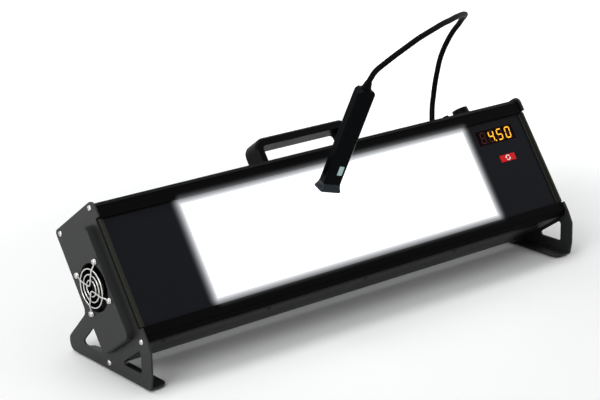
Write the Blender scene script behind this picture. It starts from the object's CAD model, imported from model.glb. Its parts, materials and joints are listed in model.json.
# %% [markdown]
# # A film viewer, dressed in Blender
# The construction model arrives as a fixed frame: every plate, rail and screw already stands in
# its place, in metres. This notebook gives each of them its finish, remakes the pieces whose
# rounded edges and wires matter to the eye, and lights the whole as in a product photograph.

# %% Load the frame
import json
import math

import bmesh
import bpy
from mathutils import Matrix, Vector

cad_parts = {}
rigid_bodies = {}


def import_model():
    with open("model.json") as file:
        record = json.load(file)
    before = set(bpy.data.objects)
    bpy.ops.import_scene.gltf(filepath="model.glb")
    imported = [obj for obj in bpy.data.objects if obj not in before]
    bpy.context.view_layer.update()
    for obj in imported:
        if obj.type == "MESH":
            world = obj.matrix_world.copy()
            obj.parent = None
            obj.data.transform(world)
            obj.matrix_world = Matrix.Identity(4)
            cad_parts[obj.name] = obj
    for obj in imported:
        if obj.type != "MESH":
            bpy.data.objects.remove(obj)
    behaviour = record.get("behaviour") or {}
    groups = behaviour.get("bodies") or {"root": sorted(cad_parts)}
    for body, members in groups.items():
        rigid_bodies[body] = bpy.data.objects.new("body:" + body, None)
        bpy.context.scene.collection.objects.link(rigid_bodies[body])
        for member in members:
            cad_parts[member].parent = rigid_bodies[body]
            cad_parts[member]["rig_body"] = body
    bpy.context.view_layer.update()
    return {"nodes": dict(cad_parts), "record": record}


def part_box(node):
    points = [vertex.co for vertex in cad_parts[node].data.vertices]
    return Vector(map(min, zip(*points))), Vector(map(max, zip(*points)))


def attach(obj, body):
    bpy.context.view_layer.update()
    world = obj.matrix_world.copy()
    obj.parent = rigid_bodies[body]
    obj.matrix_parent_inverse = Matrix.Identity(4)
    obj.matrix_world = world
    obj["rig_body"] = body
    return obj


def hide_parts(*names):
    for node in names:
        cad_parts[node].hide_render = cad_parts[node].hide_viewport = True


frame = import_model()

# %% [markdown]
# The case leans back on its feet, so nothing on it is level. It helps to speak of places as its
# maker does: how far along the case (x), how deep behind the front face (b) and how far up the
# front face (a), in millimetres. One matrix turns such a place into the upright frame.

# %% Places on the leaning case
MM = 0.001
LEAN = math.radians(34.4)
CASE_H, CASE_D = 142.5, 79.5
MID_A = CASE_H / 2
PANEL_B = 4.0
FACE_FOOT = Vector((0.0, -0.0712435, 0.0496149))

CASE = Matrix.Translation(FACE_FOOT) @ Matrix.Rotation(-LEAN, 4, "X")
INTO_CASE, UP_FACE = CASE.col[1].to_3d(), CASE.col[2].to_3d()


def on_case(x, b, a):
    """A place on the leaning case, from millimetres to a point of the frame."""
    return CASE @ (Vector((x, b, a)) * MM)


print("top edge of the front face stands", round(on_case(0, 0, CASE_H).z, 4), "m high")

# %% [markdown]
# The camera comes first, because every later choice is judged through it. It stands to the left
# of the viewer and above it, and its lens is long, so that the parallel rails hardly converge.
# Its axes are written out, which leaves no doubt about roll.

# %% Camera
CAMERA_AT = (-1.11209, -1.34879, 0.66571)
LENS_MM, SENSOR_MM = 105.395, 36
NEAR, FAR = 0.05, 50


def add_object(name, data):
    """Puts new data into the scene as an object at the origin."""
    thing = bpy.data.objects.new(name, data)
    bpy.context.scene.collection.objects.link(thing)
    return thing


axis_right = Vector((0.77841, -0.62733, -0.02320)).normalized()
axis_back = Vector((-0.59264, -0.74654, 0.30242)).normalized()
axis_up = axis_back.cross(axis_right).normalized()
axis_right = axis_up.cross(axis_back)
camera = add_object("camera", bpy.data.cameras.new("camera"))
camera_turn = Matrix((axis_right, axis_up, axis_back)).transposed().to_4x4()
camera.matrix_world = Matrix.Translation(CAMERA_AT) @ camera_turn
camera.data.lens = LENS_MM
camera.data.sensor_width = SENSOR_MM
camera.data.clip_start = NEAR
camera.data.clip_end = FAR
bpy.context.scene.camera = camera
bpy.context.scene.view_settings.view_transform = "Standard"
print("camera looks along", [round(-v, 3) for v in axis_back])

# %% [markdown]
# Nodes read best when each is made in one line. A helper adds a node, sets its inputs, and
# links where it is given another node's output. Others add a sum, a mix of two colours, and an
# empty group with named sockets.

# %% Helpers for nodes
FLOAT, VECTOR, GEOMETRY = "NodeSocketFloat", "NodeSocketVector", "NodeSocketGeometry"


def wire(tree, kind, inputs=None, **properties):
    """Adds a node to a tree; an input is a plain value or another node's output."""
    node = tree.nodes.new(kind)
    for name, value in properties.items():
        setattr(node, name, value)
    for name, value in (inputs or {}).items():
        socket = node.inputs[name]
        if isinstance(value, bpy.types.NodeSocket):
            tree.links.new(value, socket)
        else:
            socket.default_value = value
    return node


def maths(tree, operation, *values, **properties):
    """A Math node on values or other nodes' outputs; returns its output."""
    node = wire(tree, "ShaderNodeMath", dict(enumerate(values)), operation=operation, **properties)
    return node.outputs[0]


def blend(tree, share, one, other):
    """Mixes two colours by a share; returns the mixed colour."""
    node = wire(tree, "ShaderNodeMix", {"Factor": share, "A": one, "B": other}, data_type="RGBA")
    return node.outputs["Result"]


def new_group(name, inputs, outputs, tree_kind="ShaderNodeTree"):
    """A node group with named sockets; returns the group, its input node and its output node."""
    group = bpy.data.node_groups.new(name, tree_kind)
    for label, kind, *value in inputs:
        socket = group.interface.new_socket(label, in_out="INPUT", socket_type=kind)
        if value:
            socket.default_value = value[0]
    for label, kind in outputs:
        group.interface.new_socket(label, in_out="OUTPUT", socket_type=kind)
    return group, group.nodes.new("NodeGroupInput"), group.nodes.new("NodeGroupOutput")


# %% [markdown]
# The studio: a pale seamless sweep, as under any catalogue picture. The world is plain grey to
# the object's diffuse light, but white to the camera, to reflections and through glass, so the
# background is white without a single extra lamp. Those same rays see the floor as whiter paper
# with a little light of its own, more of it far from the object, so the shadow near it stays.

# %% Floor and world
FLOOR_LIFT = (0.035, 0.6)
LIFT_REACH = (0.30, 1.1)
FLOOR_HALF = 6.0


def grey(level):
    return (level, level, level, 1.0)


def seen_share(tree):
    """1 for the camera, for reflections and for views through glass, 0 for all other rays."""
    ray = wire(tree, "ShaderNodeLightPath")
    seen = maths(tree, "MAXIMUM", ray.outputs["Is Camera Ray"], ray.outputs["Is Glossy Ray"])
    return maths(tree, "MAXIMUM", seen, ray.outputs["Is Transmission Ray"])


def new_material(name):
    material = bpy.data.materials.new(name)
    material.use_nodes = True
    return material, material.node_tree, material.node_tree.nodes["Principled BSDF"]


def sweep_material():
    material, tree, shader = new_material("sweep_paper")
    seen = seen_share(tree)
    place = wire(tree, "ShaderNodeTexCoord")
    away = wire(tree, "ShaderNodeVectorMath", {0: place.outputs["Object"]}, operation="LENGTH")
    far = wire(tree, "ShaderNodeMapRange",
               {"Value": away.outputs["Value"], "From Min": LIFT_REACH[0], "From Max": LIFT_REACH[1],
                "To Min": FLOOR_LIFT[0], "To Max": FLOOR_LIFT[1]}, interpolation_type="SMOOTHSTEP")
    lift = maths(tree, "MULTIPLY", seen, far.outputs["Result"])
    speck = wire(tree, "ShaderNodeTexNoise", {"Scale": 900.0, "Detail": 2.0})
    paper = blend(tree, speck.outputs["Fac"], grey(0.60), grey(0.64))
    tree.links.new(blend(tree, seen, paper, grey(0.98)), shader.inputs["Base Color"])
    tree.links.new(lift, shader.inputs["Emission Strength"])
    shader.inputs["Emission Color"].default_value = grey(1)
    shader.inputs["Roughness"].default_value = 0.9
    shader.inputs["Specular IOR Level"].default_value = 0.1
    return material


corners = [(x * FLOOR_HALF, y * FLOOR_HALF, 0) for x, y in ((-1, -1), (1, -1), (1, 1), (-1, 1))]
floor_mesh = bpy.data.meshes.new("floor")
floor_mesh.from_pydata(corners, [], [(0, 1, 2, 3)])
floor_mesh.materials.append(sweep_material())
add_object("floor", floor_mesh)

world = bpy.data.worlds.new("studio")
bpy.context.scene.world = world
world.use_nodes = True
sky = world.node_tree
tone = blend(sky, seen_share(sky), (0.36, 0.365, 0.37, 1), grey(1))
sky.links.new(tone, sky.nodes["Background"].inputs["Color"])
print("floor and world are in place")

# %% [markdown]
# Three soft boxes. The large key stands on the left, where it brings out the end plate and the
# fan; a broad one overhead draws the light lines along the rails; a weak one on the right keeps
# the far foot from sinking into black.

# %% Soft boxes
LAMP_TARGET = Vector((0, 0, 0.1))


def soft_box(name, place, size, watts):
    data = bpy.data.lights.new(name, "AREA")
    data.shape = "RECTANGLE"
    data.size, data.size_y = size
    data.energy = watts
    lamp = add_object(name, data)
    lamp.location = place
    lamp.rotation_euler = (LAMP_TARGET - Vector(place)).to_track_quat("-Z", "Y").to_euler()


soft_box("key_box", (-2.2, -0.9, 1.5), (1.3, 1.3), 27.5)
soft_box("top_box", (-0.2, 0.5, 2.2), (1.8, 1.0), 21)
soft_box("side_box", (2.4, -0.4, 1.1), (1.0, 1.2), 6)
print("soft boxes:", len(bpy.data.lights))

# %% [markdown]
# The probe hangs on a short, stiff, round cord that springs up out of the case top and arches
# over to the probe. Its route is the one of the construction model, drawn as a Bezier curve
# through every point, so that it is one smooth line with the same length. A smooth arch stands a
# few hundredths of a millimetre above the straight pieces of that model, so the radius gives
# as much away and the arch stays inside the model's box.

# %% The cord
CORD_D = 6.0
ROOM_AT_TOP = 0.04
CORD_SIDES, CORD_STEPS = 6, 10
cord_places = [
    (184, 36, 150.3),
    (188.5, 32, 164), (191.5, 25.5, 175.5), (193.5, 17.5, 186.5), (195.5, 8.5, 197),
    (197, -1, 206.5), (198, -12, 214), (198.5, -24.5, 220), (198.5, -37.5, 224.5),
    (197, -50.5, 226.5), (193, -63, 227.5), (187, -74.5, 226.5), (178.5, -85, 224.5),
    (169, -95, 221.5), (159, -104.5, 218.5), (148, -113, 216), (136, -120, 213),
    (124, -126.5, 210), (111, -131, 206.5), (97.5, -134.5, 203.5), (84, -136, 200),
    (70.5, -136, 196.5), (57, -134, 193), (44.5, -130, 189), (32, -124.5, 185),
    (20.5, -116.5, 181), (11, -107.5, 177),
    (6.405, -97.711, 171.184),
]


def smooth_route(places):
    """Points of a smooth curve through the places, each between its two Bezier handles."""
    points = [on_case(*p) for p in places]
    last = len(points) - 1
    knots = []
    for i, point in enumerate(points):
        before, after = points[max(i - 1, 0)], points[min(i + 1, last)]
        heading = (after - before).normalized()
        reach_in = (point - before).length / 3
        reach_out = (after - point).length / 3
        knots.append((point - heading * reach_in, point, point + heading * reach_out))
    return knots


def round_curve(name, knots, radius):
    data = bpy.data.curves.new(name, "CURVE")
    data.dimensions = "3D"
    data.bevel_depth = radius
    data.bevel_resolution = CORD_SIDES
    data.use_fill_caps = True
    data.resolution_u = data.render_resolution_u = CORD_STEPS
    spline = data.splines.new("BEZIER")
    spline.bezier_points.add(len(knots) - 1)
    for knot, (left, middle, right) in zip(spline.bezier_points, knots):
        knot.handle_left_type = knot.handle_right_type = "FREE"
        knot.co, knot.handle_left, knot.handle_right = middle, left, right
    return add_object(name, data)


cord_knots = smooth_route(cord_places)
cord = round_curve("cord", cord_knots, (CORD_D / 2 - ROOM_AT_TOP) * MM)

# %% [markdown]
# ## Shared effects
# A finish is never one flat colour. Powder coat and moulded plastic have a fine grain and drift
# slightly in tone; drawn aluminium and extruded rails carry faint lines along their length. Both
# effects are node groups, so each material only sets their sizes.

# %% Groups: fine grain and drawn lines
MM_PER_M = 1000.0
SPECK_SHARE = 0.35


def make_grain():
    group, start, end = new_group(
        "fine_grain",
        [("Grain size mm", FLOAT, 0.5), ("Patch size mm", FLOAT, 40.0)],
        [("Height", FLOAT), ("Drift", FLOAT)])
    place = wire(group, "ShaderNodeTexCoord")

    def noise(size, detail, roughness):
        scale = maths(group, "DIVIDE", MM_PER_M, start.outputs[size])
        return wire(group, "ShaderNodeTexNoise", {"Vector": place.outputs["Object"], "Scale": scale,
                                                  "Detail": detail, "Roughness": roughness}).outputs["Fac"]

    grain = noise("Grain size mm", 2.0, 0.55)
    patch = noise("Patch size mm", 3.0, 0.6)
    speck = maths(group, "MULTIPLY", grain, SPECK_SHARE)
    drift = maths(group, "MULTIPLY", patch, 1 - SPECK_SHARE)
    group.links.new(grain, end.inputs["Height"])
    group.links.new(maths(group, "ADD", speck, drift), end.inputs["Drift"])
    return group


def make_lines():
    group, start, end = new_group(
        "drawn_lines",
        [("Line width mm", FLOAT, 0.4), ("Stretch", VECTOR, (0.02, 1.0, 1.0)), ("Turn", VECTOR, (0, 0, 0))],
        [("Height", FLOAT), ("Drift", FLOAT)])
    place = wire(group, "ShaderNodeTexCoord")
    turned = wire(group, "ShaderNodeVectorRotate", {"Vector": place.outputs["Object"],
                                                    "Rotation": start.outputs["Turn"]},
                  rotation_type="EULER_XYZ")
    long = wire(group, "ShaderNodeVectorMath", {0: turned.outputs[0], 1: start.outputs["Stretch"]},
                operation="MULTIPLY")
    scale = maths(group, "DIVIDE", MM_PER_M, start.outputs["Line width mm"])
    lines = wire(group, "ShaderNodeTexNoise", {"Vector": long.outputs[0], "Scale": scale,
                                               "Detail": 3.0, "Roughness": 0.65})
    group.links.new(lines.outputs["Fac"], end.inputs["Height"])
    group.links.new(lines.outputs["Fac"], end.inputs["Drift"])
    return group


fine_grain = make_grain()
drawn_lines = make_lines()
print("shared effects:", fine_grain.name, "and", drawn_lines.name)

# %% [markdown]
# One recipe serves most finishes: a colour that drifts between two close tones, a roughness that
# drifts with it, and a shallow bump from the grain. What differs between paint, plastic, rubber
# and metal is in the numbers.

# %% The common finish
ROUGH_DRIFT = 0.06


def tones(colour, spread):
    """Two close tones around a colour, as (r, g, b, 1)."""
    return [tuple(min(1.0, c * k) for c in colour) + (1.0,) for k in (1 - spread, 1 + spread)]


def finish_of(name, colour, rough, spread=0.15, grain=0.5, relief=0.01, patch=40.0, lines=None,
              turn=(0, 0, 0), metal=0.0, shine=0.5, glow=None):
    """A material whose tone, roughness and bump drift with the grain; lengths are in millimetres."""
    material, tree, shader = new_material(name)
    if lines:
        group, settings = drawn_lines, {"Line width mm": grain, "Stretch": lines, "Turn": turn}
    else:
        group, settings = fine_grain, {"Grain size mm": grain, "Patch size mm": patch}
    effect = wire(tree, "ShaderNodeGroup", settings, node_tree=group)
    dull = wire(tree, "ShaderNodeMapRange", {"Value": effect.outputs["Drift"], "From Min": 0.25,
                                             "From Max": 0.75, "To Min": max(rough - ROUGH_DRIFT, 0.02),
                                             "To Max": min(rough + ROUGH_DRIFT, 1.0)})
    bump = wire(tree, "ShaderNodeBump", {"Height": effect.outputs["Height"], "Distance": relief * MM})
    tint = blend(tree, effect.outputs["Drift"], *tones(colour, spread))
    tree.links.new(tint, shader.inputs["Base Color"])
    tree.links.new(dull.outputs["Result"], shader.inputs["Roughness"])
    tree.links.new(bump.outputs["Normal"], shader.inputs["Normal"])
    shader.inputs["Metallic"].default_value = metal
    shader.inputs["Specular IOR Level"].default_value = shine
    if glow:
        shader.inputs["Emission Color"].default_value = glow[0] + (1.0,)
        shader.inputs["Emission Strength"].default_value = glow[1]
    return material


# %% [markdown]
# The sheet parts are powder coated: black with a touch of grey-green, matt, with the orange-peel
# skin that the baked powder leaves. The rails are extrusions, smoother and darker, with faint
# lines along their length; the strips beside the panel are a shade more olive.

# %% Paint and rails
ALONG_CASE = (0.01, 1.0, 1.0)
powder = finish_of("powder_coat", (0.021, 0.0228, 0.0214), 0.44, spread=0.22, grain=0.7, relief=0.035,
                   shine=0.21)
rail_black = finish_of("rail_black", (0.0035, 0.0035, 0.0038), 0.36, spread=0.25,
                       lines=ALONG_CASE, relief=0.008, shine=0.014)
strip_finish = finish_of("strip_olive", (0.0125, 0.0135, 0.0080), 0.30, spread=0.2, grain=0.6,
                         lines=(1.0, 0.03, 1.0), turn=(LEAN, 0, 0), shine=0.2)
shell_black = finish_of("shell_powder", (0.014, 0.0148, 0.0144), 0.44, spread=0.22, grain=0.7,
                        relief=0.03, shine=0.14)

# %% [markdown]
# Metals: bright nickel on the screws and the guard that one sees, zinc plate on the hidden
# nuts and shafts, black oxide on the screws that should not show, raw aluminium for the heat
# sink and the blocks, brass for the posts and the inlet's pins.

# %% Metals
nickel = finish_of("bright_nickel", (0.58, 0.575, 0.555), 0.22, spread=0.08, grain=0.9, relief=0.004,
                   metal=1.0)
aluminium = finish_of("raw_aluminium", (0.60, 0.61, 0.62), 0.36, spread=0.1, grain=0.35,
                      lines=ALONG_CASE, relief=0.006, metal=1.0)
zinc = finish_of("zinc_plate", (0.50, 0.51, 0.52), 0.34, spread=0.12, grain=0.8, relief=0.006, metal=1.0)
black_screw = finish_of("black_oxide", (0.030, 0.030, 0.032), 0.34, spread=0.2, grain=0.6, relief=0.006,
                        metal=1.0)
brass = finish_of("brass", (0.62, 0.46, 0.20), 0.3, spread=0.1, grain=0.6, relief=0.004, metal=1.0)

# %% [markdown]
# Plastics and rubber: the handle and knob, the fan, the probe and the probe's foot are moulded,
# in blacks that differ a little. Rubber is duller than plastic and hardly reflects.

# %% Plastics and rubber
moulded = finish_of("moulded_black", (0.0026, 0.0027, 0.0034), 0.34, grain=0.45, relief=0.012,
                    shine=0.035)
fan_black = finish_of("fan_plastic", (0.003, 0.003, 0.0034), 0.42, grain=0.6, relief=0.008, shine=0.06)
probe_black = finish_of("probe_plastic", (0.0007, 0.0014, 0.0020), 0.26, grain=0.35, relief=0.008,
                        shine=0.03)
rubber = finish_of("black_rubber", (0.0018, 0.0020, 0.0020), 0.55, relief=0.02, shine=0.04)
rocker_red = finish_of("rocker_red", (0.50, 0.012, 0.014), 0.32, spread=0.1, grain=0.6, relief=0.006,
                       shine=0.3)
foot_black = finish_of("probe_foot_plastic", (0.010, 0.016, 0.022), 0.24, grain=0.35, relief=0.008,
                       shine=0.16)
teal = finish_of("teal_button", (0.42, 0.62, 0.62), 0.45, spread=0.08)
cord.data.materials.append(rubber)

# %% [markdown]
# Inside parts: white reflector box, green boards, lamps with their yellow phosphor. They are
# seen only through the vents and cut-outs, yet they get finishes of their own.

# %% Inside parts
white_paint = finish_of("white_enamel", (0.78, 0.78, 0.76), 0.5, spread=0.04, grain=0.8, relief=0.02)
board_green = finish_of("board_green", (0.012, 0.10, 0.045), 0.35, spread=0.3, grain=1.2, patch=8)
board_white = finish_of("board_white", (0.70, 0.71, 0.70), 0.45, spread=0.05, grain=1.0)
phosphor = finish_of("lamp_phosphor", (0.80, 0.62, 0.12), 0.4, spread=0.1, grain=0.4,
                     glow=((1.0, 0.93, 0.78), 0.6))

# %% [markdown]
# The front panel is dark glossy acrylic. Around the opal window the light creeps into the sheet
# and fades within a finger's width. That halo is a property of the sheet, so it is a mask on
# the panel's own place: the distance to the window's rectangle, turned into a soft falloff.

# %% The window's halo
WINDOW_W, WINDOW_H, WINDOW_LOW = 378.0, 98.3, 22.1
HALO_COLOUR = (0.95, 0.97, 1.0, 1.0)
HALO_EASE = 2.6


def make_halo():
    group, start, end = new_group(
        "window_halo",
        [("Reach mm", FLOAT, 14.0), ("Half width mm", FLOAT, WINDOW_W / 2),
         ("Half height mm", FLOAT, WINDOW_H / 2), ("Middle mm", FLOAT, WINDOW_LOW + WINDOW_H / 2)],
        [("Mask", FLOAT)])
    place = wire(group, "ShaderNodeTexCoord")
    off = wire(group, "ShaderNodeVectorMath", {0: place.outputs["Object"], 1: FACE_FOOT},
               operation="SUBTRACT")
    up = wire(group, "ShaderNodeVectorMath", {0: off.outputs[0], 1: UP_FACE}, operation="DOT_PRODUCT")
    across = wire(group, "ShaderNodeSeparateXYZ", {0: off.outputs[0]})

    def beyond(value, middle, half):
        """The square of how far a place lies past the window, in one direction."""
        mm = maths(group, "SUBTRACT", maths(group, "MULTIPLY", value, MM_PER_M), middle)
        past = maths(group, "SUBTRACT", maths(group, "ABSOLUTE", mm), half)
        return maths(group, "POWER", maths(group, "MAXIMUM", past, 0.0), 2.0)

    side = beyond(across.outputs[0], 0.0, start.outputs["Half width mm"])
    rise = beyond(up.outputs["Value"], start.outputs["Middle mm"], start.outputs["Half height mm"])
    far = maths(group, "POWER", maths(group, "ADD", side, rise), 0.5)
    share = maths(group, "DIVIDE", far, start.outputs["Reach mm"])
    fade = maths(group, "SUBTRACT", 1.0, share, use_clamp=True)
    group.links.new(maths(group, "POWER", fade, HALO_EASE), end.inputs["Mask"])
    return group


window_halo = make_halo()


def add_halo(material, reach, strength):
    """Lets a material take on the window's glow where it lies close to the window."""
    tree = material.node_tree
    halo = wire(tree, "ShaderNodeGroup", {"Reach mm": reach}, node_tree=window_halo)
    shader = tree.nodes["Principled BSDF"]
    tint = blend(tree, halo.outputs["Mask"], grey(0), HALO_COLOUR)
    tree.links.new(tint, shader.inputs["Emission Color"])
    shader.inputs["Emission Strength"].default_value = strength


print("halo around a window of", WINDOW_W, "by", WINDOW_H, "mm")

# %% [markdown]
# Panel, window and filter lie in one plane, and the key hardly stands proud of it, so the eye
# tells them apart by finish: glossy near-black, glowing opal, dark maroon and a softly lit red.

# %% Front panel and window
panel_finish = finish_of("panel_acrylic", (0.0080, 0.0086, 0.0118), 0.20, spread=0.12, grain=2.0,
                         relief=0.004, patch=60, shine=0.055)
add_halo(panel_finish, 13.5, 1.0)
add_halo(rail_black, 12.0, 0.5)
opal = finish_of("opal_window", (0.86, 0.86, 0.86), 0.35, spread=0.02, grain=2.0, relief=0.004,
                 shine=0.3, glow=((1.0, 1.0, 1.0), 1.15))
key_red = finish_of("key_red", (0.62, 0.008, 0.010), 0.30, spread=0.10, grain=0.8, relief=0.006,
                    shine=0.12, glow=((0.9, 0.01, 0.01), 0.12))
filter_red = finish_of("filter_maroon", (0.0052, 0.0007, 0.0006), 0.16, grain=1.5, relief=0.002,
                       shine=0.02)
grey_plastic = finish_of("grey_plastic", (0.055, 0.056, 0.058), 0.45, grain=0.8)
sensor_glass = finish_of("sensor_glass", (0.010, 0.012, 0.020), 0.12, spread=0.2, grain=0.8,
                         relief=0.002)
print("finishes made:", len(bpy.data.materials))

# %% [markdown]
# Every node names its finish in the construction model's record, by slot. One table turns the
# slots into the materials above; the fan is the one exception, because its plastic is duller
# than the mouldings one can touch.

# %% Dress every node
FINISHES = {
    "powder_black": powder, "shell_black": shell_black, "rail_black": rail_black, "strip": strip_finish,
    "aluminium": aluminium, "brass": brass, "zinc": zinc, "bright_screw": nickel, "wire": nickel,
    "black_screw": black_screw, "black_plastic": moulded, "handle_black": moulded, "knob_black": moulded,
    "grey_plastic": grey_plastic, "white_plastic": white_paint, "rubber": rubber, "cord_black": rubber,
    "probe_black": probe_black, "button_teal": teal, "rocker_red": rocker_red, "key_red": key_red,
    "filter_red": filter_red, "panel": panel_finish, "window": opal, "lamp": phosphor,
    "white_board": board_white, "green_board": board_green, "sensor": sensor_glass,
}
SLOTS = {part["node"]: part["material_slot"] for part in frame["record"]["subparts"]}
for node, slot in SLOTS.items():
    materials = frame["nodes"][node].data.materials
    materials.clear()
    materials.append(fan_black if node in ("fan_frame", "fan_rotor") else FINISHES[slot])
print("nodes dressed:", len(SLOTS))

# %% [markdown]
# ## Pieces of the scene's own
# Each piece made here takes the same few steps: its shape becomes a plain mesh, it gets its
# finish, and it is handed over with the body it rides on and the node it stands for.

# %% Helpers for pieces
def piece_from(shape, name, material):
    """Turns a finished bmesh into an object of one material."""
    mesh = bpy.data.meshes.new(name)
    shape.to_mesh(mesh)
    shape.free()
    mesh.materials.append(material)
    return add_object(name, mesh)


def plain_mesh(thing):
    """Turns an object's modifiers into its own mesh."""
    graph = bpy.context.evaluated_depsgraph_get()
    made = bpy.data.meshes.new_from_object(thing.evaluated_get(graph))
    thing.modifiers.clear()
    thing.data = made


def shade(thing, sharp_deg):
    """Smooth shading, with the edges kept that turn by more than the angle."""
    thing.data.shade_smooth()
    thing.data.set_sharp_from_angle(angle=math.radians(sharp_deg))


def circle(x, y, radius, steps, ahead=0.0):
    """Places evenly round a middle, the first one a share of a step ahead."""
    angles = [2 * math.pi * (i + ahead) / steps for i in range(steps)]
    return [(x + radius * math.cos(t), y + radius * math.sin(t)) for t in angles]


def lofted(name, solids, material):
    """Closed solids, each a list of rings of points, with a face over either end."""
    shape = bmesh.new()
    for rings in solids:
        made = [[shape.verts.new(point) for point in ring] for ring in rings]
        for lower, upper in zip(made, made[1:]):
            for i in range(len(lower)):
                j = (i + 1) % len(lower)
                shape.faces.new((lower[i], lower[j], upper[j], upper[i]))
        shape.faces.new(made[0][::-1])
        shape.faces.new(made[-1])
    bmesh.ops.recalc_face_normals(shape, faces=shape.faces)
    return piece_from(shape, name, material)


def hand_over(thing, body, node=None):
    """The piece rides on its body, stands for its node and names its finish."""
    if node:
        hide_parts(node)
    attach(thing, body)
    print(thing.name, "has", len(thing.data.polygons), "faces")


# %% [markdown]
# A folded plate or a moulding never ends in a knife edge; a thin line of light along each edge
# makes it look solid. The construction mesh can't be changed, so its copy is: loose triangles are
# merged, flat faces joined, and a Bevel modifier rounds what is sharp. A Weighted Normal modifier
# keeps the large faces evenly lit up to their rounded rims. The copy stands for its node.

# %% Softened copies
MERGE_WITHIN = 2e-6
FLAT_WITHIN, SHARP_FROM = math.radians(0.6), math.radians(32)
SOFT_EDGES = {
    "left_end_plate": 0.35, "right_end_plate": 0.35, "rear_shell": 0.4, "top_rail": 0.35,
    "bottom_rail": 0.35, "left_end_strip": 0.25, "right_end_strip": 0.25, "front_panel": 0.12,
    "handle": 0.5, "window_key": 0.3, "fan_frame": 0.3, "probe_front_shell": 0.4,
    "probe_rear_shell": 0.4, "probe_button": 0.4, "mains_inlet": 0.35, "rocker_frame": 0.35,
    "power_rocker": 0.3, "rubber_feet": 0.4, "pedal_socket": 0.25, "cord_gland": 0.35, "heat_sink": 0.15,
}


def soften(node, width):
    """Makes the rounded copy of a node; width is the size of the rounding in millimetres."""
    source = frame["nodes"][node]
    shape = bmesh.new()
    shape.from_mesh(source.data)
    bmesh.ops.remove_doubles(shape, verts=shape.verts, dist=MERGE_WITHIN)
    bmesh.ops.dissolve_limit(shape, angle_limit=FLAT_WITHIN, verts=shape.verts, edges=shape.edges)
    thing = piece_from(shape, node + "_soft", source.data.materials[0])
    bevel = thing.modifiers.new("rounded edges", "BEVEL")
    bevel.width = width * MM
    bevel.segments = 2
    bevel.angle_limit = SHARP_FROM
    thing.data.shade_smooth()
    flat = thing.modifiers.new("flat faces stay flat", "WEIGHTED_NORMAL")
    flat.weight = 100
    plain_mesh(thing)
    hand_over(thing, source["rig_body"], node)


for node, width in SOFT_EDGES.items():
    soften(node, width)

# %% [markdown]
# ## Things that repeat
# Screws and lamps are one shape in many places. A Geometry Nodes tree takes the shape, puts a
# copy on every point and turns it to face outwards; the points are a mesh without faces. One
# tree serves them all, because its shape and finish are inputs.

# %% The scatter tree
def close_tree(tree, end, geometry, finish):
    """Every tree ends alike: copies made real, then the finish, which is an input too."""
    real = wire(tree, "GeometryNodeRealizeInstances", {"Geometry": geometry})
    done = wire(tree, "GeometryNodeSetMaterial", {"Geometry": real.outputs["Geometry"],
                                                  "Material": finish})
    tree.links.new(done.outputs["Geometry"], end.inputs[0])
    return tree


def scatter_tree():
    tree, start, end = new_group(
        "put_on_places",
        [("Places", GEOMETRY), ("Shape", "NodeSocketObject"), ("Finish", "NodeSocketMaterial")],
        [("Pieces", GEOMETRY)], "GeometryNodeTree")
    shape = wire(tree, "GeometryNodeObjectInfo", {"Object": start.outputs["Shape"]})
    facing = wire(tree, "GeometryNodeInputNamedAttribute", {"Name": "facing"}, data_type="FLOAT_VECTOR")
    turn = wire(tree, "FunctionNodeAlignRotationToVector", {"Vector": facing.outputs["Attribute"]},
                axis="Z")
    copies = wire(tree, "GeometryNodeInstanceOnPoints",
                  {"Points": start.outputs["Places"], "Instance": shape.outputs["Geometry"],
                   "Rotation": turn.outputs["Rotation"]})
    return close_tree(tree, end, copies.outputs["Instances"], start.outputs["Finish"])


def run_tree(thing, tree, inputs, sharp_deg):
    """Sets the tree's inputs by their identifiers and turns the result into a plain mesh."""
    maker = thing.modifiers.new("maker", "NODES")
    maker.node_group = tree
    sockets = {s.name: s.identifier for s in tree.interface.items_tree if s.in_out == "INPUT"}
    for label, value in inputs.items():
        maker[sockets[label]] = value
    plain_mesh(thing)
    shade(thing, sharp_deg)


put_on_places = scatter_tree()


def scatter(name, shape, places, finish):
    """One mesh with the shape on every place; a place is a point and the way it faces."""
    mesh = bpy.data.meshes.new(name)
    mesh.from_pydata([tuple(point) for point, _ in places], [], [])
    facing = mesh.attributes.new("facing", "FLOAT_VECTOR", "POINT")
    facing.data.foreach_set("vector", [c for _, way in places for c in way])
    thing = add_object(name, mesh)
    run_tree(thing, put_on_places, {"Shape": shape, "Finish": finish}, sharp_deg=35)
    bpy.data.objects.remove(shape)
    return thing


# %% [markdown]
# The screws are button heads: a low dome with a hexagon socket. A lathe turns their profile
# round the axis, and the socket's rings follow a hexagon instead of a circle.

# %% Button-head screw
HEAD_R, HEAD_H, SOCKET_R, SHANK_R = 2.9, 2.0, 1.1, 1.45
END_SHARE, END_TAPER, SEAT_SHARE = 0.8, 0.4, 0.96
RIM_SHARE, DOME_FROM, DOME_TO, DOME_STEPS = 0.15, 12, 77, 5
# the socket's rings from its mouth inwards, as shares of its reach and of the head's height
SOCKET_SHARES = ((1.12, 1), (1, 0.93), (1, 0.45), (0, 0.35))
SCREW_SIDES = 24


def hexagon_reach(angle):
    """A hexagon's reach in the direction of an angle, as a share of its corner's."""
    return math.cos(math.pi / 6) / math.cos((angle % (math.pi / 3)) - math.pi / 6)


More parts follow.
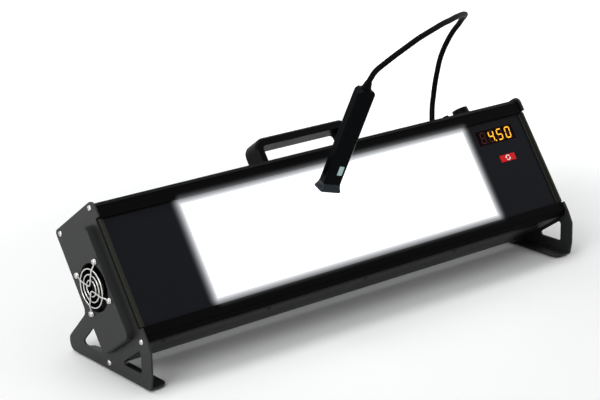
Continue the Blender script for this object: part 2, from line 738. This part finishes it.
def lathe(name, profile, steps, material, hexagon=()):
    """Turns (radius, height) pairs in millimetres round z; rings numbered in hexagon get six corners."""
    shape = bmesh.new()
    rings = []
    for number, (radius, height) in enumerate(profile):
        if radius == 0:
            rings.append([shape.verts.new((0, 0, height * MM))])
            continue
        ring = []
        for i in range(steps):
            angle = 2 * math.pi * i / steps
            reach = radius * MM * (hexagon_reach(angle) if number in hexagon else 1)
            ring.append(shape.verts.new((reach * math.cos(angle), reach * math.sin(angle), height * MM)))
        rings.append(ring)
    for lower, upper in zip(rings, rings[1:]):
        for i in range(steps):
            j = (i + 1) % steps
            if len(lower) == 1:
                shape.faces.new((lower[0], upper[i], upper[j]))
            elif len(upper) == 1:
                shape.faces.new((lower[i], upper[0], lower[j]))
            else:
                shape.faces.new((lower[i], upper[i], upper[j], lower[j]))
    bmesh.ops.recalc_face_normals(shape, faces=shape.faces)
    return piece_from(shape, name, material)


def button_screw(shank_l):
    """Shank, flat underside, dome and hexagon socket, with its seat at height 0."""
    profile = [(0, -shank_l), (SHANK_R * END_SHARE, -shank_l), (SHANK_R, END_TAPER - shank_l),
               (SHANK_R, 0), (HEAD_R * SEAT_SHARE, 0), (HEAD_R, RIM_SHARE * HEAD_H)]
    first, top = math.radians(DOME_FROM), math.radians(DOME_TO)
    for i in range(1, DOME_STEPS + 1):
        angle = first + (top - first) * i / DOME_STEPS
        rise = RIM_SHARE + (1 - RIM_SHARE) * math.sin(angle) / math.sin(top)
        profile.append((HEAD_R * math.cos(angle) / math.cos(first), HEAD_H * rise))
    mouth = len(profile)
    profile += [(SOCKET_R * out, HEAD_H * up) for out, up in SOCKET_SHARES]
    return lathe("screw_shape", profile, SCREW_SIDES, nickel, range(mouth, len(profile)))


# %% [markdown]
# Four of them hold each end plate, near its corners. Their seats come from the boxes of the
# construction model's screws, so the remade heads stand exactly where those stood.

# %% Plate screws
PLATE_SHANK_L = 10
FRONT_B, FRONT_INSET, BACK_INSET = 6.5, 2.8, 3.5
PLATE_SCREWS = [(b, a) for b, inset in ((FRONT_B, FRONT_INSET), (CASE_D - BACK_INSET, BACK_INSET))
                for a in (inset, CASE_H - inset)]


def beside_case(x, b, a):
    """A point level with a place on the case, at x in metres."""
    spot = on_case(0, b, a)
    return Vector((x, spot.y, spot.z))


for side, label in ((-1, "left"), (1, "right")):
    node = label + "_plate_screws"
    low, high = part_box(node)
    seat = (low.x if side < 0 else high.x) - side * HEAD_H * MM
    places = [(beside_case(seat, b, a), (side, 0, 0)) for b, a in PLATE_SCREWS]
    screws = scatter(node + "_turned", button_screw(PLATE_SHANK_L), places, nickel)
    hand_over(screws, "case", node)

# %% [markdown]
# The fan's screws are the same kind, only longer, because they pass through the guard, the plate
# and the fan's frame. So the same function makes them, on the fan's own corners.

# %% Fan screws
FAN_B, FAN_PITCH, WIRE_D = 40.0, 40.0, 1.6
FAN_SHANK_L = 20
FAN_CORNERS = [(x, y) for x in (-FAN_PITCH / 2, FAN_PITCH / 2) for y in (-FAN_PITCH / 2, FAN_PITCH / 2)]
fan_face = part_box("left_end_plate")[0].x
places = [(beside_case(fan_face - WIRE_D * MM, FAN_B + x, MID_A + y), (-1, 0, 0)) for x, y in FAN_CORNERS]
fan_screws = scatter("fan_screws_turned", button_screw(FAN_SHANK_L), places, nickel)
hand_over(fan_screws, "case", "fan_screws")

# %% [markdown]
# The guard is bent wire: three rings, two long wires welded over them with a bend near the
# middle, and a loop under each screw. Only the middle line of each wire is drawn here, as plain
# edges. A second Geometry Nodes tree turns the edges into curves and sweeps the round wire along
# them, so the wire has one thickness everywhere and ends in flat cuts inside the loops.

# %% Wire guard
RING_RADII = (8.0, 13.6, 19.2)
LOOP_R, RING_HEIGHT, LEG_HEIGHT = 2.4, 2.6, 3.7
BEND_R, BEND_DIP, KNEE_REACH = 4.5, 3.0, 21.0
KNEE_BEFORE, KNEE_AFTER, KNEE_DROP = 0.5, 0.3, 0.15
RING_STEPS, LOOP_STEPS, BEND_STEPS, WIRE_SIDES = 64, 20, 10, 12


def sweep_tree():
    tree, start, end = new_group(
        "sweep_wire", [("Middle lines", GEOMETRY), ("Thickness", FLOAT), ("Sides", "NodeSocketInt"),
                       ("Finish", "NodeSocketMaterial")],
        [("Wire", GEOMETRY)], "GeometryNodeTree")
    lines = wire(tree, "GeometryNodeMeshToCurve", {"Mesh": start.outputs["Middle lines"]})
    ring = wire(tree, "GeometryNodeCurvePrimitiveCircle",
                {"Resolution": start.outputs["Sides"],
                 "Radius": maths(tree, "MULTIPLY", start.outputs["Thickness"], 0.5)})
    swept = wire(tree, "GeometryNodeCurveToMesh", {"Curve": lines.outputs["Curve"], "Fill Caps": True,
                                                   "Profile Curve": ring.outputs["Curve"]})
    return close_tree(tree, end, swept.outputs["Mesh"], start.outputs["Finish"])


def on_fan(x, y, high):
    """A place over the fan: x into the case, y up the front face, high away from the plate."""
    return tuple(beside_case(fan_face - high * MM, FAN_B + x, MID_A + y))


def leg_line(up):
    """The middle line of one long wire: loop, knee, bend, knee, loop."""
    bend_y, loop_at = BEND_DIP + BEND_R, FAN_PITCH / 2
    rise = math.atan2(loop_at - bend_y, loop_at)
    rise += math.asin(BEND_R / math.hypot(loop_at, loop_at - bend_y))
    along_x, along_y = math.cos(rise), math.sin(rise)
    reach = KNEE_REACH - bend_y
    half = []
    for i in range(1, BEND_STEPS + 1):
        turn = rise * i / BEND_STEPS
        half.append((BEND_R * math.sin(turn), bend_y - BEND_R * math.cos(turn), LEG_HEIGHT))
    bend_x, bend_end, _ = half[-1]
    for far, drop in ((reach - KNEE_BEFORE, 0), (reach + KNEE_AFTER, KNEE_DROP)):
        half.append((bend_x + along_x * far, bend_end + along_y * far, LEG_HEIGHT - drop))
    half.append((loop_at - LOOP_R * along_x, loop_at - LOOP_R * along_y, WIRE_D / 2))
    whole = [(-x, y, h) for x, y, h in half[::-1]] + [(0, BEND_DIP, LEG_HEIGHT)] + half
    return [on_fan(x, y * up, h) for x, y, h in whole]


rings = [(circle(0, 0, radius, RING_STEPS), RING_HEIGHT) for radius in RING_RADII]
rings += [(circle(x, y, LOOP_R, LOOP_STEPS), WIRE_D / 2) for x, y in FAN_CORNERS]
lines = [([on_fan(x, y, high) for x, y in ring], True) for ring, high in rings]
lines += [(leg_line(up), False) for up in (1, -1)]
points, edges = [], []
for line, closed in lines:
    first = len(points)
    points += line
    edges += [(i, i + 1) for i in range(first, len(points) - 1)]
    if closed:
        edges.append((len(points) - 1, first))
guard_mesh = bpy.data.meshes.new("fan_guard_wires")
guard_mesh.from_pydata(points, edges, [])
guard = add_object("fan_guard_wires", guard_mesh)
run_tree(guard, sweep_tree(), {"Thickness": WIRE_D * MM, "Sides": WIRE_SIDES, "Finish": nickel},
         sharp_deg=50)
hand_over(guard, "case", "fan_guard")

# %% [markdown]
# The lamps stand in six rows of twenty-four on their white board, each a small yellow package
# with a round lens. The scatter tree puts them in place; as they are many, one has few faces.

# %% Lamps on their board
PACKAGE_W, PACKAGE_H, PACKAGE_EDGE = 3.5, 0.9, 0.12
LENS_R, LENS_RISE_SHARE = 1.35, 0.42
LED_COLUMNS, LED_ROWS, LED_MARGIN, LED_BACK = 24, 6, 5, 28.4


def rounded_block(size, edge, segments):
    """A block around the origin with rounded edges, as a bmesh; lengths are in millimetres."""
    shape = bmesh.new()
    block = bmesh.ops.create_cube(shape, size=1.0)["verts"]
    bmesh.ops.scale(shape, vec=Vector(size) * MM, verts=block)
    bmesh.ops.bevel(shape, geom=shape.edges[:], offset=edge * MM, segments=segments, affect="EDGES")
    return shape


def lamp_shape():
    shape = rounded_block((PACKAGE_W, PACKAGE_W, PACKAGE_H), PACKAGE_EDGE, 1)
    bmesh.ops.translate(shape, vec=(0, 0, PACKAGE_H / 2 * MM), verts=shape.verts)
    lens = bmesh.ops.create_uvsphere(shape, u_segments=12, v_segments=6, radius=LENS_R * MM)["verts"]
    bmesh.ops.scale(shape, vec=(1, 1, LENS_RISE_SHARE), verts=lens)
    bmesh.ops.translate(shape, vec=(0, 0, PACKAGE_H * MM), verts=lens)
    return piece_from(shape, "lamp_shape", phosphor)


def evenly(count, span):
    """Evenly spaced places around zero."""
    return [(i - (count - 1) / 2) * span / (count - 1) for i in range(count)]


places = [(on_case(x, LED_BACK, MID_A + a), tuple(-INTO_CASE))
          for x in evenly(LED_COLUMNS, WINDOW_W - 2 * LED_MARGIN)
          for a in evenly(LED_ROWS, WINDOW_H - 2 * LED_MARGIN)]
lamps = scatter("lamps", lamp_shape(), places, phosphor)
hand_over(lamps, "case", "leds")

# %% [markdown]
# ## The reading
# The display is a row of four seven-segment digits behind a dark red filter. Each segment is a
# flat bar with pointed ends. Bars that are lit glow amber, the others show as a dull red ghost.
# They are thin plates on the filter's face, which keeps them crisp at any angle.

# %% Seven-segment digits
DISPLAY_X, DISPLAY_A = 234.0, CASE_H - 34.0
DIGIT_W, DIGIT_H, DIGIT_STEP, SLANT = 6.6, 12.0, 12.7, 0.12
BAR, BAR_GAP, BAR_PROUD = 1.45, 0.25, 0.08
POINT_R, POINT_OFF, POINT_SIDES = 0.85, 2.1, 12
READING, POINT_AFTER = " 450", "4"
LIT = {"0": "abcdef", "4": "bcfg", "5": "acdfg", " ": ""}
# where each bar starts and ends, in halves of the digit's width and height
BARS = {"a": (-1, 1, 1, 1), "b": (1, 1, 1, 0), "c": (1, 0, 1, -1), "d": (-1, -1, 1, -1),
        "e": (-1, 0, -1, -1), "f": (-1, 1, -1, 0), "g": (-1, 0, 1, 0)}


def flat_shape(name, outlines, face_b, proud, material):
    """Flat plates on the case: outlines of (x, a) places, standing proud of depth face_b."""
    plates = [[[on_case(x, b, a) for x, a in outline] for b in (face_b - proud, face_b)]
              for outline in outlines]
    return lofted(name, plates, material)


def bar(x0, a0, x1, a1):
    """A pointed bar between two places."""
    length = math.hypot(x1 - x0, a1 - a0)
    ux, ua = (x1 - x0) / length, (a1 - a0) / length
    half = BAR / 2
    near, far = BAR_GAP, length - BAR_GAP
    points = [(near, 0), (near + half, half), (far - half, half), (far, 0), (far - half, -half),
              (near + half, -half)]
    return [(x0 + ux * s - ua * t, a0 + ua * s + ux * t) for s, t in points]


def digit_bars(middle_x):
    w, h = DIGIT_W / 2, DIGIT_H / 2
    upright = {letter: bar(x0 * w, a0 * h, x1 * w, a1 * h) for letter, (x0, a0, x1, a1) in BARS.items()}
    return {letter: [(middle_x + x + a * SLANT, DISPLAY_A + a) for x, a in outline]
            for letter, outline in upright.items()}


def round_point(middle_x):
    """The outline of the decimal point at the lower right of a digit."""
    x = middle_x + DIGIT_W / 2 + POINT_OFF - DIGIT_H / 2 * SLANT
    return circle(x, DISPLAY_A - DIGIT_H / 2, POINT_R, POINT_SIDES)


amber = finish_of("amber_segment", (0.9, 0.42, 0.03), 0.4, spread=0.06, relief=0.001, shine=0.1,
                  glow=((1.0, 0.46, 0.03), 0.95))
ghost = finish_of("ghost_segment", (0.045, 0.008, 0.007), 0.35, spread=0.1, relief=0.001, shine=0.1)
lit_bars, dull_bars = [], []
for place, figure in enumerate(READING):
    middle = DISPLAY_X + (place - (len(READING) - 1) / 2) * DIGIT_STEP
    for letter, outline in digit_bars(middle).items():
        (lit_bars if letter in LIT[figure] else dull_bars).append(outline)
    (lit_bars if figure == POINT_AFTER else dull_bars).append(round_point(middle))
for name, outlines, material in (("lit_segments", lit_bars, amber), ("dull_segments", dull_bars, ghost)):
    hand_over(flat_shape(name, outlines, PANEL_B, BAR_PROUD, material), "case")

# %% [markdown]
# The red key carries a white ring of two arrows, the common mark for going round through a few
# settings. It looks printed on the real key; here two arcs and two triangles stand a hair proud
# of it, so that they stay sharp close by.

# %% Mark on the key
KEY_X, KEY_A, KEY_B = 238.0, CASE_H - 62.1, 3.6
MARK_R, MARK_W, MARK_PROUD = 2.7, 0.95, 0.06
ARC_FROM, ARC_SWEEP, ARC_STEPS = 25, 125, 12
TIP_AT, TIP_HALF, TIP_L = 152, 1.3, 1.95


def round_key(angle, radius, ahead=0.0):
    """A place around the key's middle, and so far ahead of it along the ring."""
    t = math.radians(angle)
    return (KEY_X + radius * math.cos(t) - ahead * math.sin(t),
            KEY_A + radius * math.sin(t) + ahead * math.cos(t))


def arc_band(start):
    angles = [start + ARC_SWEEP * i / ARC_STEPS for i in range(ARC_STEPS + 1)]
    outer = [round_key(angle, MARK_R + MARK_W / 2) for angle in angles]
    inner = [round_key(angle, MARK_R - MARK_W / 2) for angle in angles]
    return outer + inner[::-1]


def arrow_tip(angle):
    return [round_key(angle, MARK_R + TIP_HALF), round_key(angle, MARK_R, TIP_L),
            round_key(angle, MARK_R - TIP_HALF)]


mark_white = finish_of("mark_white", (0.85, 0.83, 0.80), 0.4, spread=0.03, grain=0.6, relief=0.001,
                       shine=0.3, glow=((1.0, 0.95, 0.92), 0.25))
outlines = [arc_band(ARC_FROM + half) for half in (0, 180)]
outlines += [arrow_tip(TIP_AT + half) for half in (0, 180)]
hand_over(flat_shape("key_mark", outlines, KEY_B, MARK_PROUD, mark_white), "key")

# %% [markdown]
# ## The probe
# The probe has a frame of its own: z runs from its foot to the cord. Its foot flares out to a
# rim around the light opening, a moulded curve rather than a wedge, so it is lofted through
# rounded rectangles that grow narrower along a power curve.

# %% Probe foot
PROBE_X, PROBE_DOWN, PROBE_CLEAR = -18.8, 39.7, 0.3
PROBE_ROLL, PROBE_TIP, PROBE_LEAN = math.radians(3.6), math.radians(15.4), math.radians(51.5)
FOOT_W, FOOT_D, NECK_W, NECK_D, NECK_CORNER = 25.5, 16.0, 21.5, 12.5, 2.2
HOLE_R, HOLE_EDGE, HOLE_RIM, HOLE_DEEP = 3.4, 0.4, 0.3, 3.0
FOOT_RIM = ((0.9, 2.2, 0.0), (0.2, 2.5, 0.35), (0.0, 2.6, 1.0), (0.0, 2.6, 1.9))
FLARE_W, FLARE_D, FLARE_FROM, FLARE_H, FLARE_POWER, FLARE_STEPS = 3.4, 3.0, 2.2, 6.3, 1.9, 8
CORNER_STEPS = 6
RING_COUNT = 4 * (CORNER_STEPS + 1)


def probe_frame():
    turn = (Matrix.Rotation(PROBE_ROLL, 4, "Z") @ Matrix.Rotation(PROBE_TIP, 4, "Y")
            @ Matrix.Rotation(PROBE_LEAN, 4, "X"))
    depth = PANEL_B - PROBE_CLEAR - FOOT_W / 2 * math.sin(PROBE_ROLL) * math.cos(PROBE_TIP)
    foot_at = Vector((PROBE_X, depth, CASE_H - PROBE_DOWN)) * MM
    return CASE @ Matrix.Translation(foot_at) @ turn @ Matrix.Translation((0, -FOOT_D / 2 * MM, 0))


PROBE = probe_frame()


def rounded_ring(width, depth, corner, height):
    """Points of a rounded rectangle in the probe's frame, in millimetres."""
    points = []
    for cx, cy, start in ((1, 1, 0), (-1, 1, 90), (-1, -1, 180), (1, -1, 270)):
        for i in range(CORNER_STEPS + 1):
            t = math.radians(start + 90 * i / CORNER_STEPS)
            points.append((cx * (width / 2 - corner) + corner * math.cos(t),
                           cy * (depth / 2 - corner) + corner * math.sin(t), height))
    return points


def foot_rings():
    """From the bottom of the hole out over the rim and up the flare to the neck."""
    hole = ((HOLE_R, HOLE_DEEP), (HOLE_R, HOLE_RIM), (HOLE_R + HOLE_EDGE, 0.0))
    rings = [[(x, y, height) for x, y in circle(0, 0, radius, RING_COUNT, 0.5)] for radius, height in hole]
    rings += [rounded_ring(FOOT_W - inset, FOOT_D - inset, corner, height)
              for inset, corner, height in FOOT_RIM]
    for i in range(1, FLARE_STEPS + 1):
        t = i / FLARE_STEPS
        ease = (1 - t) ** FLARE_POWER
        rings.append(rounded_ring(NECK_W + FLARE_W * ease, NECK_D + FLARE_D * ease, NECK_CORNER,
                                  FLARE_FROM + FLARE_H * t))
    return rings


foot_solid = [[PROBE @ (Vector(point) * MM) for point in ring] for ring in foot_rings()]
foot = lofted("probe_foot_moulded", [foot_solid], foot_black)
shade(foot, sharp_deg=40)
hand_over(foot, "probe", "probe_foot")

# %% [markdown]
# Where the cord enters the probe, a rubber relief keeps it from kinking: a stepped collar and
# three soft ribs. It is round, so the lathe of the screws makes it from one profile.

# %% Strain relief
PROBE_L, RELIEF_SIDES = 116.0, 32
RELIEF_PROFILE = [
    (0, -1.0), (4.0, -1.0), (5.3, 0.0), (5.5, 0.3), (5.5, 1.2), (5.2, 1.5), (4.4, 1.7), (4.4, 2.3),
    (4.7, 2.5), (4.7, 3.2), (4.4, 3.4), (4.0, 3.6), (4.0, 4.2), (4.3, 4.4), (4.3, 5.0), (4.0, 5.2),
    (3.7, 5.4), (3.7, 6.0), (3.9, 6.2), (3.9, 6.8), (3.5, 7.1), (3.25, 8.0), (0, 8.0),
]
relief = lathe("probe_relief_ribbed", RELIEF_PROFILE, RELIEF_SIDES, rubber)
relief.data.transform(PROBE @ Matrix.Translation((0, 0, PROBE_L * MM)))
shade(relief, sharp_deg=50)
hand_over(relief, "probe", "probe_relief")

# %% [markdown]
# Finger grips: short raised ribs on the narrow sides, close above the foot. One rib is a low
# rounded bar; the scatter tree repeats it up each side.

# %% Grip ribs
RIB_SIZE, RIB_EDGE = (7.0, 0.9, 0.7), 0.25
RIB_OUT, RIB_FROM, RIB_STEP, RIB_COUNT = 10.75, 18, 2.4, 7
rib = piece_from(rounded_block(RIB_SIZE, RIB_EDGE, 2), "rib_shape", probe_black)
probe_turn = PROBE.to_3x3()
places = [(PROBE @ (Vector((side * RIB_OUT, 0, RIB_FROM + RIB_STEP * i)) * MM),
           tuple(probe_turn @ Vector((side, 0, 0)))) for side in (-1, 1) for i in range(RIB_COUNT)]
ribs = scatter("probe_grip_ribs", rib, places, probe_black)
hand_over(ribs, "probe")

# %% [markdown]
# The cord is declared last, with its real length and thickness, and stands for its plain solid.
# It is stiff and ends at a tool, so it keeps its shape and moves with the probe.

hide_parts("probe_cord")
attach(cord, "probe")
